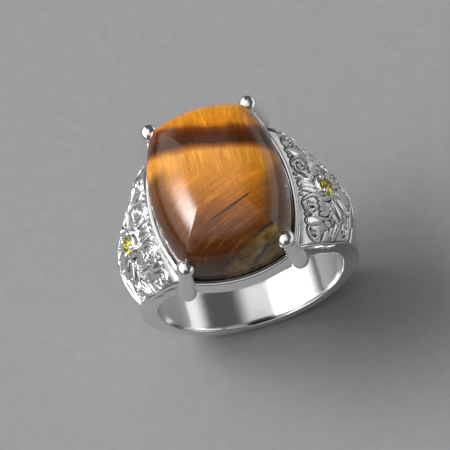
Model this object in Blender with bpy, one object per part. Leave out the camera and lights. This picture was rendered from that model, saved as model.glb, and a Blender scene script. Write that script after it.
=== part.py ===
"""A finger ring set with a cushion cabochon of tiger's eye.

The band is a polished shank whose shoulders widen and rise towards the stone and carry a relief of
scrolls, leaves and petals. The head is a collar with a seat and four round corner claws. A small
yellow brilliant sits between four bead prongs in each shoulder.

The origin is the centre of the finger hole: X runs across the finger, Y along it, +Z through the
stone. The ring is the same on both sides of the XZ plane and of the YZ plane.
"""

from math import atan2, cos, pi, radians, sin, sqrt

import bmesh
import bpy
import numpy as np
from mathutils import Matrix, Vector

MM = 0.001

# Finger hole, in millimetres as all sizes here, and the clearance between separate pieces
HOLE_RADIUS = 8.65
GAP = 0.05

# Shank and shoulders, each value at an angle in degrees from the bottom of the hole
THICKNESS = ((0, 0.95), (45, 1.1), (70, 1.45), (90, 1.9), (104.2, 2.47), (116.2, 3.36), (128, 3.95),
             (134.8, 4.11), (142.6, 4.7), (149.2, 4.96), (155.8, 5.09), (166.8, 5.12))
CROWN = ((0, 0.2), (45, 0.25), (90, 0.42), (101.5, 0.75), (116.2, 1.25), (127, 1.4), (137, 1.2),
         (146, 1.0), (151.4, 0.75), (166.8, 0.7))
OUTER_HALF_WIDTH = ((0, 2.2), (45, 2.3), (75, 2.5), (101.5, 2.9), (116.2, 3.75), (128.2, 4.5),
                    (137, 5.1), (145.9, 5.75), (151.4, 6.1), (158, 6.4), (166.8, 6.6))
INNER_HALF_WIDTH = ((0, 2.2), (45, 2.3), (60, 2.45), (95, 2.8), (113, 3.45), (124, 3.95),
                    (139, 4.6), (146, 4.8), (166.8, 5.2))
LOFT_END = 166.8
EDGE_ROUNDING = 0.16
GROUND_COLUMNS = 7
GROUND_ROWS = 7
SHANK_STEP = 9.0

# Ornament panel of a shoulder, measured down the middle of the shoulder from the collar
PANEL_START_ANGLE = 150.8
PANEL_TOP = 159.1
PANEL_LENGTH = 8.3
PANEL_RIM = 0.24
PANEL_RIM_SLOPE = 0.1
RELIEF_DEPTH = 0.32
SCROLL_STEP = 40

# Sections of the raised motifs: share of the half width, share of the relief's depth
LEAF_SECTION = ((-1.2, -0.4), (0, 1), (1.2, -0.4))
LEAF_STATIONS = (0.02, 0.3, 0.7, 0.98)
SCROLL_SECTION = ((-1.1, -0.4), (-0.55, 0.9), (0.55, 0.9), (1.1, -0.4))
EYE_SIDES = 6

# Scrolls on half a shoulder: centre, radius, turns, opening angle, half width. Positions are
# millimetres from the middle line and down from the collar; the other half is the mirror image.
SCROLLS = (
    ((4.8, 0.85), 0.72, 1.1, 200, 0.19),
    ((2.05, 1.3), 1.05, 1.4, 110, 0.19),
    ((3.15, 6.1), 0.8, 1.1, 0, 0.19),
)

# Leaves and petals: start, end, half width, where along its length the leaf is fullest
LEAVES = (
    ((3.5, 2.1), (3.7, 0.0), 0.42, 0.65),
    ((5.45, 1.75), (3.85, 3.1), 0.46, 0.65),
    ((1.25, 2.7), (3.5, 2.45), 0.26, 0.5),
    ((1.4, 3.2), (3.5, 3.1), 0.3, 0.5),
    ((1.35, 3.8), (3.3, 3.75), 0.3, 0.5),
    ((4.85, 3.3), (3.4, 4.3), 0.28, 0.5),
    ((4.55, 4.2), (2.8, 5.05), 0.42, 0.5),
    ((1.25, 4.25), (2.6, 5.4), 0.36, 0.5),
    ((0.75, 4.75), (1.75, 6.85), 0.38, 0.5),
    ((3.9, 7.1), (0.4, 7.6), 0.28, 0.5),
)
MIDDLE_LEAVES = (
    ((0, 0.1), (0, 2.25), 0.55, 0.45),
    ((0, 4.85), (0, 7.4), 0.4, 0.5),
)

# Head: the collar's outline is two long and two short arcs through its corners
COLLAR_HALF_WIDTH = 6.57
COLLAR_HALF_LENGTH = 8.26
LONG_SIDE_BULGE = 1.75
SHORT_SIDE_BULGE = 1.1
COLLAR_CORNER_ROUNDING = 0.6
COLLAR_TOP = 12.79
COLLAR_BOTTOM = 11.18
WALL = 0.4
SEAT_DEPTH = 0.8
SEAT_WIDTH = 0.95
COLLAR_CHAMFER = 0.1
LONG_ARC_STEPS = 5
CORNER_STEPS = 3
SHORT_ARC_STEPS = 4

# Open gallery under the stone, cut right through along the finger
GALLERY_HALF_WIDTH = 3.6
GALLERY_LOW = 3
GALLERY_REACH = 12

# Claws, one at each corner of the collar
CLAW_RADIUS = 0.68
CLAW_TIP = (4.42, 6.92, 16.23)
CLAW_FOOT = (5.12, 7.1, 11.28)
CLAW_TOE = (5.15, 6.6, 9.93)
CLAW_ROOT_SHARES = (0.35, 0.85, 1.15)
CLAW_STEM = ((0.3, 1.05), (0.75, 0.97), (0.9, 0.94), (0.96, 0.78), (0.99, 0.5))

# Cabochon: an undercut back, a narrow upright girdle, and a dome that is rounder towards its apex
STONE_INSET = 0.5
BACK_INSET = 0.95
GIRDLE_HEIGHT = 0.1
STONE_APEX = 18.98
STONE_GIRDLE = 12.53
DOME_FULLNESS = 2.5
DOME_SQUARENESS = 4.4
DOME_REACHES = (1.0, 0.99, 0.97, 0.935, 0.88, 0.8, 0.7, 0.57, 0.42, 0.26, 0.12)
OVAL_POWER = 1.5

# Accent stones, each on the middle line of its shoulder. The cut is given as (share of the radius,
# height as a share of the radius) for the table's and the star facets' corners.
ACCENT_ANGLE = 136.6
ACCENT_LIFT = 0.42
ACCENT_RADIUS = 0.88
ACCENT_FACETS = 16
GIRDLE_HALF_THICKNESS = 0.03
TABLE_CORNER = (0.56, 0.34)
STAR_CORNER = (0.78, 0.21)
PAVILION_DEPTH = 0.86

# What holds an accent stone; heights are measured from its girdle, along its axis
COLLET_HEIGHTS = (-1.3, -0.12)
COLLET_RADII = (1.35, 1.05)
COLLET_SIDES = 16
PRONG_COUNT = 4
PRONG_RADIUS = 0.27
PRONG_TIP_RADIUS = 0.216
PRONG_OFFSET = 0.08
PRONG_HEIGHTS = (-1.2, 0.3)
PRONG_SIDES = 8
DRILL_RADIUS = 0.5
DRILL_DEPTH = 8
DRILL_SIDES = 12


def smooth_value(stations, at):
    """Value at an angle on a smooth curve through the stations."""
    angles, values = np.array(stations, float).T
    slopes = np.gradient(values, angles)
    at = np.clip(np.asarray(at, float), angles[0], angles[-1])
    i = np.clip(np.searchsorted(angles, at) - 1, 0, len(angles) - 2)
    span = angles[i + 1] - angles[i]
    t = (at - angles[i]) / span
    return ((1 + 2 * t) * (1 - t) ** 2 * values[i] + t * (1 - t) ** 2 * span * slopes[i]
            + t * t * (3 - 2 * t) * values[i + 1] - t * t * (1 - t) * span * slopes[i + 1])


def crest_radius(angle):
    """Radius of the outer surface on the ring's middle plane."""
    return HOLE_RADIUS + smooth_value(THICKNESS, angle)


def outer_radius(angle, y):
    """Radius of the outer surface before the relief is cut."""
    across = np.minimum(1, np.abs(y) / smooth_value(OUTER_HALF_WIDTH, angle))
    return crest_radius(angle) - smooth_value(CROWN, angle) * across ** 2


def crest_path():
    """Fine angles down the crest from the collar, with their distance along the surface."""
    angles = np.linspace(PANEL_START_ANGLE, 60, 400)
    radius = crest_radius(angles)
    x, z = radius * np.sin(np.radians(angles)), -radius * np.cos(np.radians(angles))
    steps = np.hypot(np.diff(x), np.diff(z))
    return angles, np.concatenate([[0], np.cumsum(steps)])


CREST_ANGLES, CREST_DISTANCES = crest_path()


def point_on(angle, y, radius):
    """Point of the ring at an angle from the bottom, in ring axes from the hole's centre."""
    return Vector((radius * sin(radians(angle)), y, -radius * cos(radians(angle))))


def panel_point(a, s, height):
    """Point over the panel: across from its middle line, down from the collar, and up from its ground.

    The height is a share of the relief's depth.
    """
    angle = float(np.interp(s, CREST_DISTANCES, CREST_ANGLES))
    return point_on(angle, a, float(outer_radius(angle, a)) - RELIEF_DEPTH * (1 - height))


def leaf(start, end, half_width, fullest):
    """Sections of a pointed leaf with a sharp middle ridge."""
    start, end = Vector(start), Vector(end)
    aside = Vector((start.y - end.y, end.x - start.x)).normalized()
    rings = []
    for along in LEAF_STATIONS:
        width = half_width * sin(pi / 2 * min(along / fullest, (1 - along) / (1 - fullest))) ** 0.8
        middle = start.lerp(end, along)
        rings.append([panel_point(*(middle + aside * width * share), height)
                      for share, height in LEAF_SECTION])
    return rings


def scroll(centre, radius, turns, opening, half_width):
    """Sections of a ridge that winds inwards from its opening angle to the eye."""
    steps = round(360 * turns / SCROLL_STEP)
    rings = []
    for step in range(steps + 1):
        wound = step / steps
        bearing = radians(opening + 360 * turns * wound)
        line = radius + (half_width - radius) * wound
        reaches = [(line + half_width * share, height) for share, height in SCROLL_SECTION]
        rings.append([panel_point(centre[0] + reach * cos(bearing), centre[1] + reach * sin(bearing),
                                  height) for reach, height in reaches])
    return rings


def eye(centre, radius):
    """Sections and apex of the bead in the middle of a scroll."""
    rings = []
    for share, height in ((1, -0.4), (0.75, 0.8)):
        rings.append([panel_point(centre[0] + share * radius * cos(2 * pi * k / EYE_SIDES),
                                  centre[1] + share * radius * sin(2 * pi * k / EYE_SIDES), height)
                      for k in range(EYE_SIDES)])
    return rings, panel_point(*centre, 1.1)


def make_relief():
    """All raised motifs of both shoulders as one cutter."""
    motifs = [(leaf(*values), None, (1,)) for values in MIDDLE_LEAVES]
    motifs += [(leaf(*values), None, (1, -1)) for values in LEAVES]
    for centre, radius, turns, opening, half_width in SCROLLS:
        motifs.append((scroll(centre, radius, turns, opening, half_width), None, (1, -1)))
        motifs.append((*eye(centre, 1.5 * half_width), (1, -1)))
    bm = bmesh.new()
    for rings, apex, mirrors in motifs:
        for side_x in (1, -1):
            for side_y in mirrors:
                turn = Vector((side_x, side_y, 1))
                add_loft(bm, [[p * turn for p in ring] for ring in rings], apex=apex and apex * turn)
    return finish_mesh("relief", bm)


def in_metres(points):
    return [Vector(p) * MM for p in points]


def add_loft(bm, rings, close_ends=True, apex=None):
    """Add a closed shell through rings of equally many points, capped, or brought to an apex."""
    verts = [[bm.verts.new(p) for p in in_metres(ring)] for ring in rings]
    pairs = list(zip(verts, verts[1:]))
    if close_ends:
        bm.faces.new(verts[0])
    if not close_ends:
        pairs.append((verts[-1], verts[0]))
    elif apex is None:
        bm.faces.new(verts[-1])
    else:
        top = bm.verts.new(in_metres([apex])[0])
        for first, second in zip(verts[-1], verts[-1][1:] + verts[-1][:1]):
            bm.faces.new((first, second, top))
    for lower, upper in pairs:
        for i in range(len(lower)):
            j = (i + 1) % len(lower)
            bm.faces.new((lower[i], lower[j], upper[j], upper[i]))


def finish_mesh(name, bm):
    """Object with the mesh, its faces turned outwards."""
    bmesh.ops.recalc_face_normals(bm, faces=bm.faces)
    mesh = bpy.data.meshes.new(name)
    bm.to_mesh(mesh)
    bm.free()
    return bpy.data.objects.new(name, mesh)


def loft(name, rings, close_ends=True, apex=None):
    bm = bmesh.new()
    add_loft(bm, rings, close_ends, apex)
    return finish_mesh(name, bm)


def outline(inset, z):
    """Ring of points on the collar's outline, moved inwards by the inset."""
    corner_x = COLLAR_HALF_WIDTH - LONG_SIDE_BULGE
    corner_y = COLLAR_HALF_LENGTH - SHORT_SIDE_BULGE
    long_radius = (corner_y ** 2 + LONG_SIDE_BULGE ** 2) / (2 * LONG_SIDE_BULGE)
    short_radius = (corner_x ** 2 + SHORT_SIDE_BULGE ** 2) / (2 * SHORT_SIDE_BULGE)
    rounding = max(COLLAR_CORNER_ROUNDING, inset + 0.25)
    long_centre = COLLAR_HALF_WIDTH - long_radius
    short_centre = COLLAR_HALF_LENGTH - short_radius
    # centre of the corner's rounding, from its distances to the two arcs' centres
    p, q = long_radius - rounding, short_radius - rounding
    apart = sqrt(long_centre ** 2 + short_centre ** 2)
    along = (p ** 2 - q ** 2 + apart ** 2) / (2 * apart)
    aside = sqrt(p ** 2 - along ** 2)
    ex, ey = -long_centre / apart, short_centre / apart
    cx = long_centre + along * ex - aside * ey
    cy = along * ey + aside * ex
    long_end = atan2(cy, cx - long_centre)
    short_end = atan2(cy - short_centre, cx)
    quarter = []
    for k in range(LONG_ARC_STEPS):
        angle = long_end * k / LONG_ARC_STEPS
        quarter.append((long_centre + (long_radius - inset) * cos(angle),
                        (long_radius - inset) * sin(angle)))
    for k in range(CORNER_STEPS + 1):
        angle = long_end + (short_end - long_end) * k / CORNER_STEPS
        quarter.append((cx + (rounding - inset) * cos(angle), cy + (rounding - inset) * sin(angle)))
    for k in range(1, SHORT_ARC_STEPS + 1):
        angle = short_end + (pi / 2 - short_end) * k / SHORT_ARC_STEPS
        quarter.append(((short_radius - inset) * cos(angle),
                        short_centre + (short_radius - inset) * sin(angle)))
    half = quarter + [(-x, y) for x, y in reversed(quarter[1:-1])] + [(-quarter[0][0], 0)]
    full = half + [(x, -y) for x, y in reversed(half[1:-1])]
    return [(x, y, z) for x, y in full]


def material(name, colour, roughness, metallic=0.0, transmission=0.0, ior=1.5):
    new = bpy.data.materials.new(name)
    new.use_nodes = True
    shader = new.node_tree.nodes["Principled BSDF"]
    shader.inputs["Base Color"].default_value = (*colour, 1)
    shader.inputs["Roughness"].default_value = roughness
    shader.inputs["Metallic"].default_value = metallic
    shader.inputs["Transmission Weight"].default_value = transmission
    shader.inputs["IOR"].default_value = ior
    return new


def add_part(obj, parts, finish, sharp_angle=32):
    obj.data.materials.clear()
    obj.data.materials.append(finish)
    obj.data.shade_smooth()
    obj.data.set_sharp_from_angle(angle=radians(sharp_angle))
    parts.objects.link(obj)
    return obj


def add_cutter(obj, cutters):
    obj.display_type = "WIRE"
    obj.hide_render = True
    cutters.objects.link(obj)
    return obj


def boolean(obj, operand, operation, self_overlap=False):
    modifier = obj.modifiers.new(operation.lower(), "BOOLEAN")
    modifier.operation = operation
    modifier.object = operand
    modifier.solver = "EXACT"
    modifier.use_self = self_overlap


def box_cutter(name, low, high):
    bm = bmesh.new()
    bmesh.ops.create_cube(bm, size=1)
    low, high = in_metres([low, high])
    size, middle = high - low, (high + low) / 2
    bmesh.ops.transform(bm, matrix=Matrix.Translation(middle) @ Matrix.Diagonal((*size, 1)), verts=bm.verts)
    return finish_mesh(name, bm)


def accent_place(side):
    """Matrix, in metres, of an accent stone: its origin on the girdle's plane, +Z out of the shoulder."""
    step = 0.5
    above, below = (point_on(a, 0, crest_radius(a)) for a in (ACCENT_ANGLE + step, ACCENT_ANGLE - step))
    down = (below - above).normalized()
    outward = Vector((-down.z, 0, down.x))
    centre = point_on(ACCENT_ANGLE, 0, crest_radius(ACCENT_ANGLE)) + outward * ACCENT_LIFT
    centre.x, outward.x = side * centre.x, side * outward.x
    turn = outward.to_track_quat("Z", "Y").to_matrix().to_4x4()
    return Matrix.Translation(centre * MM) @ turn


def cone_at(name, place, heights, radii, sides, offset=(0, 0)):
    """Cone or cylinder between two heights on an axis that stands at a place."""
    low, high = heights
    bm = bmesh.new()
    bmesh.ops.create_cone(bm, cap_ends=True, segments=sides, radius1=radii[0] * MM,
                          radius2=radii[1] * MM, depth=(high - low) * MM)
    lift = Vector((offset[0], offset[1], (low + high) / 2)) * MM
    bmesh.ops.transform(bm, matrix=place @ Matrix.Translation(lift), verts=bm.verts)
    return finish_mesh(name, bm)


def brilliant(name, place, grow=0.0):
    """Round brilliant: table, crown, girdle and pavilion, as the hull of its corner points."""
    radius = ACCENT_RADIUS + grow
    half_facets = ACCENT_FACETS // 2
    bm = bmesh.new()
    for k in range(ACCENT_FACETS):
        angle = 2 * pi * k / ACCENT_FACETS
        for z in (-GIRDLE_HALF_THICKNESS - grow, GIRDLE_HALF_THICKNESS + grow):
            bm.verts.new((radius * cos(angle), radius * sin(angle), z))
    for k in range(half_facets):
        for (reach, height), turn in ((TABLE_CORNER, k), (STAR_CORNER, k + 0.5)):
            angle = 2 * pi * turn / half_facets
            bm.verts.new((reach * radius * cos(angle), reach * radius * sin(angle), height * radius + grow))
    bm.verts.new((0, 0, -PAVILION_DEPTH * radius - grow))
    bmesh.ops.convex_hull(bm, input=bm.verts)
    bmesh.ops.transform(bm, matrix=place @ Matrix.Scale(MM, 4), verts=bm.verts)
    return finish_mesh(name, bm)


def band_rings():
    """Sections of the band, from one end over the bottom of the hole to the other."""
    panel_end = PANEL_LENGTH - PANEL_RIM
    ground_rows = np.linspace(0, panel_end - PANEL_RIM_SLOPE, GROUND_ROWS)
    ground, (rim, end) = (np.interp(s, CREST_DISTANCES, CREST_ANGLES)
                          for s in (ground_rows, (panel_end, PANEL_LENGTH)))
    shank = np.linspace(0, end, round(end / SHANK_STEP) + 1)
    side = [(angle, 0) for angle in (*shank, rim)]
    side += [(angle, 1) for angle in (*ground[::-1], PANEL_TOP, LOFT_END)]
    rings = []
    for sign, (angle, depth) in [(-1, row) for row in side[:0:-1]] + [(1, row) for row in side]:
        outer_half = float(smooth_value(OUTER_HALF_WIDTH, angle))
        inner_half = float(smooth_value(INNER_HALF_WIDTH, angle))
        rim_outside = outer_half - EDGE_ROUNDING
        rim_inside = rim_outside - PANEL_RIM
        ground_edge = rim_inside - PANEL_RIM_SLOPE
        ground = np.linspace(-ground_edge, ground_edge, GROUND_COLUMNS)
        ys = np.concatenate([[-rim_outside, -rim_inside], ground, [rim_inside, rim_outside]])
        cut = np.where(np.abs(ys) < rim_inside, depth * RELIEF_DEPTH, 0)
        edge = float(outer_radius(angle, outer_half)) - EDGE_ROUNDING
        section = list(zip(ys, outer_radius(angle, ys) - cut)) + [
            (outer_half, edge), (inner_half, HOLE_RADIUS + EDGE_ROUNDING / 2),
            (inner_half - EDGE_ROUNDING, HOLE_RADIUS), (-inner_half + EDGE_ROUNDING, HOLE_RADIUS),
            (-inner_half, HOLE_RADIUS + EDGE_ROUNDING / 2), (-outer_half, edge)]
        rings.append([point_on(sign * angle, y, r) for y, r in section])
    return rings


def make_band(parts, cutters, silver):
    band = loft("band", band_rings())
    collar_space = loft("collar_space", [outline(-GAP, COLLAR_BOTTOM - GAP), outline(-GAP, STONE_APEX + 1)])
    gallery = box_cutter("gallery", (-GALLERY_HALF_WIDTH, -GALLERY_REACH, GALLERY_LOW),
                         (GALLERY_HALF_WIDTH, GALLERY_REACH, STONE_APEX + 1))
    boolean(band, add_cutter(make_relief(), cutters), "UNION", self_overlap=True)
    boolean(band, add_cutter(collar_space, cutters), "DIFFERENCE")
    boolean(band, add_cutter(gallery, cutters), "DIFFERENCE")
    for side, word in ((-1, "left"), (1, "right")):
        place = accent_place(side)
        collet = cone_at("collet_" + word, place, COLLET_HEIGHTS, COLLET_RADII, COLLET_SIDES)
        boolean(band, add_cutter(collet, cutters), "UNION")
        for k in range(PRONG_COUNT):
            angle = 2 * pi * (k + 0.5) / PRONG_COUNT
            reach = ACCENT_RADIUS + PRONG_OFFSET
            prong = cone_at(f"prong_{word}_{k}", place, PRONG_HEIGHTS, (PRONG_RADIUS, PRONG_TIP_RADIUS),
                            PRONG_SIDES, (reach * cos(angle), reach * sin(angle)))
            boolean(band, add_cutter(prong, cutters), "UNION")
        seat = brilliant("seat_" + word, place, GAP)
        boolean(band, add_cutter(seat, cutters), "DIFFERENCE")
        drill = cone_at("drill_" + word, place, (-DRILL_DEPTH, 0), (DRILL_RADIUS, DRILL_RADIUS),
                        DRILL_SIDES)
        boolean(band, add_cutter(drill, cutters), "DIFFERENCE")
    return add_part(band, parts, silver)


def dome_rings(grow=0.0):
    """Rings of the cabochon from its flat back over the girdle to just below the apex."""
    rings = [outline(BACK_INSET - grow, COLLAR_BOTTOM + SEAT_DEPTH + GAP - grow),
             outline(STONE_INSET - grow, STONE_GIRDLE - GIRDLE_HEIGHT)]
    base = [Vector(p) for p in outline(STONE_INSET - grow, 0)]
    height = STONE_APEX - STONE_GIRDLE
    for reach in DOME_REACHES:
        z = STONE_GIRDLE + grow + height * (1 - reach ** DOME_FULLNESS) ** (1 / DOME_SQUARENESS)
        roundness = (1 - reach) ** OVAL_POWER
        ring = []
        for p in base:
            bearing = atan2(p.y, p.x)
            oval = Vector((COLLAR_HALF_WIDTH * cos(bearing), COLLAR_HALF_LENGTH * sin(bearing), 0))
            q = p.lerp(oval, roundness) * reach
            ring.append((q.x, q.y, z))
        rings.append(ring)
    return rings


def make_stone(parts, tigers_eye):
    stone = loft("tigers_eye", dome_rings(), apex=(0, 0, STONE_APEX))
    return add_part(stone, parts, tigers_eye)


def claw(name, side_x, side_y):
    """Round claw: it grows out of the collar's corner and leans in over the stone."""
    toe, foot, tip = (Vector((side_x * x, side_y * y, z)) for x, y, z in (CLAW_TOE, CLAW_FOOT, CLAW_TIP))
    route = list(zip((toe, toe.lerp(foot, 0.5), foot), CLAW_ROOT_SHARES))
    route += [(foot.lerp(tip, along), share) for along, share in CLAW_STEM]
    curve = bpy.data.curves.new(name, "CURVE")
    curve.dimensions = "3D"
    curve.bevel_depth = CLAW_RADIUS * MM
    curve.bevel_resolution = 3
    curve.use_fill_caps = True
    spline = curve.splines.new("POLY")
    spline.points.add(len(route) - 1)
    for point, (place, radius), metres in zip(spline.points, route, in_metres([p for p, _ in route])):
        point.co = (*metres, 1)
        point.radius = radius
    obj = bpy.data.objects.new(name, curve)
    bpy.context.scene.collection.objects.link(obj)
    bpy.context.view_layer.update()
    mesh = bpy.data.meshes.new_from_object(obj.evaluated_get(bpy.context.evaluated_depsgraph_get()))
    bpy.data.objects.remove(obj)
    bm = bmesh.new()
    bm.from_mesh(mesh)
    bmesh.ops.remove_doubles(bm, verts=bm.verts, dist=0.00001)
    bmesh.ops.recalc_face_normals(bm, faces=bm.faces)
    bm.to_mesh(mesh)
    bm.free()
    return bpy.data.objects.new(name, mesh)


def make_head(parts, cutters, silver):
    profile = [(0, COLLAR_BOTTOM), (0, COLLAR_TOP - COLLAR_CHAMFER), (COLLAR_CHAMFER, COLLAR_TOP),
               (WALL, COLLAR_TOP), (WALL, COLLAR_BOTTOM + SEAT_DEPTH),
               (WALL + SEAT_WIDTH, COLLAR_BOTTOM + SEAT_DEPTH), (WALL + SEAT_WIDTH, COLLAR_BOTTOM)]
    head = loft("head", [outline(inset, z) for inset, z in profile], close_ends=False)
    stone_space = add_cutter(loft("stone_space", dome_rings(GAP), apex=(0, 0, STONE_APEX + GAP)), cutters)
    for side_x in (-1, 1):
        for side_y in (-1, 1):
            corner = claw(f"claw_{side_x}_{side_y}", side_x, side_y)
            boolean(corner, stone_space, "DIFFERENCE")
            boolean(head, add_cutter(corner, cutters), "UNION")
    return add_part(head, parts, silver)


def main():
    for obj in list(bpy.data.objects):
        bpy.data.objects.remove(obj)
    parts = bpy.data.collections.new("tigers_eye_ring")
    cutters = bpy.data.collections.new("cutters")
    for collection in (parts, cutters):
        bpy.context.scene.collection.children.link(collection)
    silver = material("polished_silver", (0.82, 0.82, 0.8), 0.12, metallic=1.0)
    tigers_eye = material("tigers_eye", (0.36, 0.17, 0.05), 0.16)
    yellow = material("yellow_stone", (0.93, 0.82, 0.16), 0.03, transmission=1.0, ior=1.65)
    make_band(parts, cutters, silver)
    make_head(parts, cutters, silver)
    make_stone(parts, tigers_eye)
    for side, word in ((-1, "left"), (1, "right")):
        add_part(brilliant("accent_stone_" + word, accent_place(side)), parts, yellow, sharp_angle=2)


main()
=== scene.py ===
# %% [markdown]
# # A tiger's eye ring, dressed for its portrait
#
# The solid model of this ring fixes every size. This lesson loads it as a frame and builds finer
# pieces on it: a cast silver band with a carved ornament, a head with four claws, and a polished
# cabochon with the silky bands of tiger's eye. All lengths below are millimetres unless a line says
# otherwise, because that is how a goldsmith measures, and they become metres when a mesh is made.

# %% Load the measured frame
from math import atan2, cos, degrees, pi, radians, sin, sqrt

import bmesh
import bpy
import numpy as np
from mathutils import Matrix, Vector


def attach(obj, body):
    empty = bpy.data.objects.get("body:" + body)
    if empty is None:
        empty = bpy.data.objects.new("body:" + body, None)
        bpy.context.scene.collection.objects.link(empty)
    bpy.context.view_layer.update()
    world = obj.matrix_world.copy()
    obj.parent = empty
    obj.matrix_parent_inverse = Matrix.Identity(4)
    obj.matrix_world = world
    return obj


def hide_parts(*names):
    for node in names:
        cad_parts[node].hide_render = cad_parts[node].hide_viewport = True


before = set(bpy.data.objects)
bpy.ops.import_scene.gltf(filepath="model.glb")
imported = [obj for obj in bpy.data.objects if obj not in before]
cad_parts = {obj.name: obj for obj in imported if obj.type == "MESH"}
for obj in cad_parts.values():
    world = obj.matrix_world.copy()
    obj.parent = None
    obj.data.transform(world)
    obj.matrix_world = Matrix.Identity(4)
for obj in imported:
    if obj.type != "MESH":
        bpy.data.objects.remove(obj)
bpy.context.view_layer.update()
MM = 0.001

# %% [markdown]
# ## Shader arithmetic that reads like a formula
#
# A finish is a chain of nodes, and most links are small sums. A wrapper round a socket lets the sums
# be written as Python: each operator adds the Math node it stands for. Every other node comes from
# one method that takes its type, its settings and what its sockets receive.

# %% A socket that understands arithmetic, and a recipe that makes nodes

class Amount:
    """A number that varies over a surface."""

    def __init__(self, recipe, socket):
        self.recipe, self.socket = recipe, socket

    def maths(self, operation, *others):
        return self.recipe.node("ShaderNodeMath", {"operation": operation}, dict(enumerate(others)))

    def __add__(self, other):
        return self.maths("ADD", self, other)

    def __sub__(self, other):
        return self.maths("SUBTRACT", self, other)

    def __rsub__(self, other):
        return self.maths("SUBTRACT", other, self)

    def __mul__(self, other):
        return self.maths("MULTIPLY", self, other)

    def __truediv__(self, other):
        return self.maths("DIVIDE", self, other)

    def __pow__(self, other):
        return self.maths("POWER", self, other)

    def __neg__(self):
        return self.maths("MULTIPLY", self, -1.0)

    def __abs__(self):
        return self.maths("ABSOLUTE", self)

    __radd__ = __add__
    __rmul__ = __mul__

    def rise(self, low, high):
        """0 below low and 1 above high, with a soft step between them."""
        settings = {"interpolation_type": "SMOOTHSTEP"}
        return self.recipe.node("ShaderNodeMapRange", settings, {0: self, 1: low, 2: high, 3: 0.0, 4: 1.0})


class Recipe:
    """The node tree of one finish; node() adds a node and returns its output as an Amount."""

    def __init__(self, name):
        self.material = bpy.data.materials.new(name)
        self.material.use_nodes = True
        self.tree = self.material.node_tree
        self.tree.nodes.clear()

    def node(self, kind, settings=None, sockets=None, output=0):
        made = self.tree.nodes.new(kind)
        for name, value in (settings or {}).items():
            if name == "stops":
                ramp = made.color_ramp
                while len(ramp.elements) < len(value):
                    ramp.elements.new(1.0)
                for element, (place, colour) in zip(ramp.elements, value):
                    element.position, element.color = place, (*colour, 1.0)
            elif name == "blend":
                made.color_ramp.interpolation = value
            else:
                setattr(made, name, value)
        for name, value in (sockets or {}).items():
            if isinstance(value, Amount):
                self.tree.links.new(value.socket, made.inputs[name])
            else:
                made.inputs[name].default_value = value
        return Amount(self, made.outputs[output]) if made.outputs else made

    def ramp(self, amount, stops, blend="LINEAR"):
        return self.node("ShaderNodeValToRGB", {"stops": stops, "blend": blend}, {0: amount})

    def mix(self, share, first, second, blend="MIX"):
        sockets = {0: share, 6: first, 7: second}
        return self.node("ShaderNodeMix", {"data_type": "RGBA", "blend_type": blend}, sockets, output=2)

    def noise(self, vector, scale, detail=3.0, roughness=0.5, distortion=0.0):
        sockets = {"Vector": vector, "Scale": scale, "Detail": detail, "Roughness": roughness,
                   "Distortion": distortion}
        return self.node("ShaderNodeTexNoise", {}, sockets)

    def finish(self, **sockets):
        """The surface shader; its sockets are named with underscores for spaces."""
        named = {name.replace("_", " "): value for name, value in sockets.items()}
        surface = self.node("ShaderNodeBsdfPrincipled", {}, named)
        self.node("ShaderNodeOutputMaterial", {}, {"Surface": surface})
        return self.material


def rgb(red, green, blue):
    """A colour picked on a screen, 0 to 255, as the linear values that a shader works with."""
    screen = [value / 255 for value in (red, green, blue)]
    return tuple(v / 12.92 if v <= 0.04045 else ((v + 0.055) / 1.055) ** 2.4 for v in screen)


# %% [markdown]
# ## The silver
#
# A cast and polished ring is bright on every ridge. Polishing wheels never reach the bottom of the
# carving, so the grooves stay duller, and the finish paints them dark: partly the oxide that sits
# there, partly painted shade, as light bounces many times before it leaves. The mesh carries that depth
# as an attribute named "recess", 0 on a ridge and 1 at the bottom, and the finish reads it. Fine
# wavering in roughness and a faint bump are the marks of hand polishing.

# %% Polished silver

def make_silver():
    r = Recipe("polished_silver")
    place = r.node("ShaderNodeTexCoord", output=3)
    recess = r.node("ShaderNodeAttribute", {"attribute_name": "recess"}, output=2)
    wear = r.noise(place, 900.0, 4.0)
    smudge = r.noise(place, 160.0, 2.0)
    oxide_and_painted_shade = (recess * (0.75 + 0.5 * wear)).rise(0.45, 0.9)
    tone = r.mix(smudge, (*rgb(236, 236, 234), 1), (*rgb(246, 246, 246), 1))
    # the grooves are painted nearly black: partly their oxide, partly painted shade
    colour = r.mix(oxide_and_painted_shade * 0.96, tone, (*rgb(30, 30, 31), 1))
    rough = 0.09 + 0.09 * wear + 0.28 * oxide_and_painted_shade
    pits = r.noise(place, 2600.0, 3.0, 0.6)
    scratches = pits + 0.5 * wear
    bump = r.node("ShaderNodeBump", {}, {"Strength": 0.12, "Distance": 0.00004, "Height": scratches})
    return r.finish(Base_Color=colour, Metallic=1.0, Roughness=rough, Normal=bump)


silver = make_silver()
print("finish:", silver.name)

# %% [markdown]
# ## The clear yellow stones
#
# A faceted stone shows its colour because light crosses it several times. Plain transmission with
# the stone's index of refraction does the same work in the renderer, and the facets of the solid
# model are already the real ones, so those two nodes are kept and only get this finish.

# %% Clear yellow stone

def make_yellow():
    r = Recipe("yellow_stone")
    return r.finish(Base_Color=(*rgb(255, 244, 104), 1), Roughness=0.0, Transmission_Weight=1.0, IOR=1.72)


yellow = make_yellow()
print("finish:", yellow.name)

# %% [markdown]
# ## Making meshes
#
# Two helpers are enough. The first joins rings of equally many points into a skin, and can close the
# skin at its ends or round into itself. The second takes what a node tree or modifier shows and keeps
# it as a plain mesh at the origin.

# %% Mesh helpers

HOLE_RADIUS = 8.65


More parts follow.
